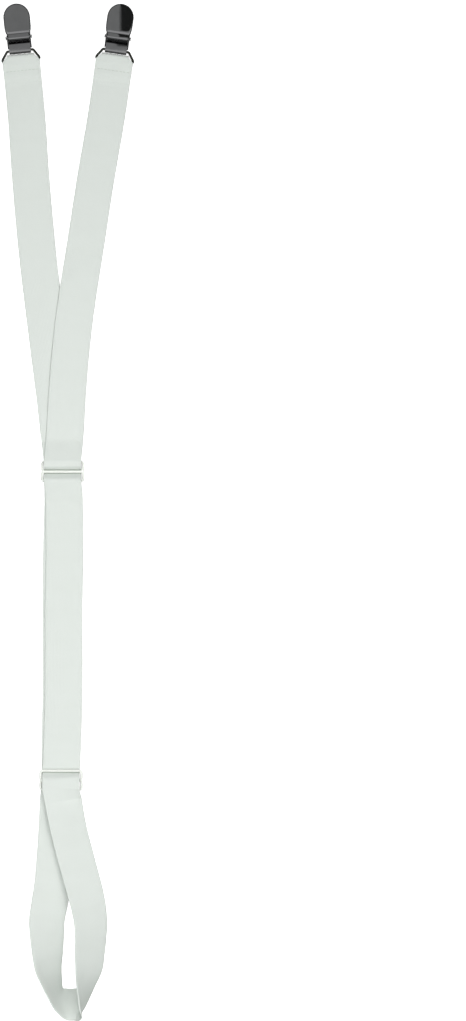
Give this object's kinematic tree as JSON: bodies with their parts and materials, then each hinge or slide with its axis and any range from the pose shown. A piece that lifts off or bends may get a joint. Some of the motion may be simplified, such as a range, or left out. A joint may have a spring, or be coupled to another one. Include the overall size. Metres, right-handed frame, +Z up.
{
  "type": "shirt stay",
  "caption": "Stirrup shirt stay: an elastic band with a metal clip at each end, two three-bar slides and a foot loop, laid flat.",
  "frame": {"origin": "under the middle of the part, on the surface that it lies on", "axes": "+Y along the stay towards its clips, +X to the right as the picture shows it, +Z up from the surface towards the viewer"},
  "size_m": [0.0882, 0.6768, 0.025],
  "materials": {
    "elastic_webbing": "white woven elastic, matt with fine ribs",
    "slide_plastic": "moulded, glossy white",
    "ring_wire": "black nickel plate on steel wire",
    "clip_steel": "polished black nickel plate on stamped steel"
  },
  "bodies": {
    "band": {"webbing": "elastic_webbing", "slide_upper": "slide_plastic", "slide_lower": "slide_plastic", "ring_left": "ring_wire", "ring_right": "ring_wire"},
    "clip_left": {"clip_base_left": "clip_steel", "hinge_pin_left": "clip_steel"},
    "clip_lever_left": {"lever_left": "clip_steel"},
    "clip_right": {"clip_base_right": "clip_steel", "hinge_pin_right": "clip_steel"},
    "clip_lever_right": {"lever_right": "clip_steel"}
  },
  "joints": [
    {"name": "clip_left_swing", "type": "hinge", "parent": "band", "child": "clip_left", "pos_m": [-0.03177, 0.30769, 0.0021], "axis": [0.9952, 0.0983, 0], "range_deg": [-90, 90]},
    {"name": "lever_left_open", "type": "hinge", "parent": "clip_left", "child": "clip_lever_left", "pos_m": [-0.03261, 0.31625, 0.0046], "axis": [0.9952, 0.0983, 0], "range_deg": [0, 100]},
    {"name": "clip_right_swing", "type": "hinge", "parent": "band", "child": "clip_right", "pos_m": [0.03207, 0.30766, 0.0021], "axis": [0.9899, -0.1419, 0], "range_deg": [-90, 90]},
    {"name": "lever_right_open", "type": "hinge", "parent": "clip_right", "child": "clip_lever_right", "pos_m": [0.03329, 0.31617, 0.0046], "axis": [0.9899, -0.1419, 0], "range_deg": [0, 100]}
  ]
}
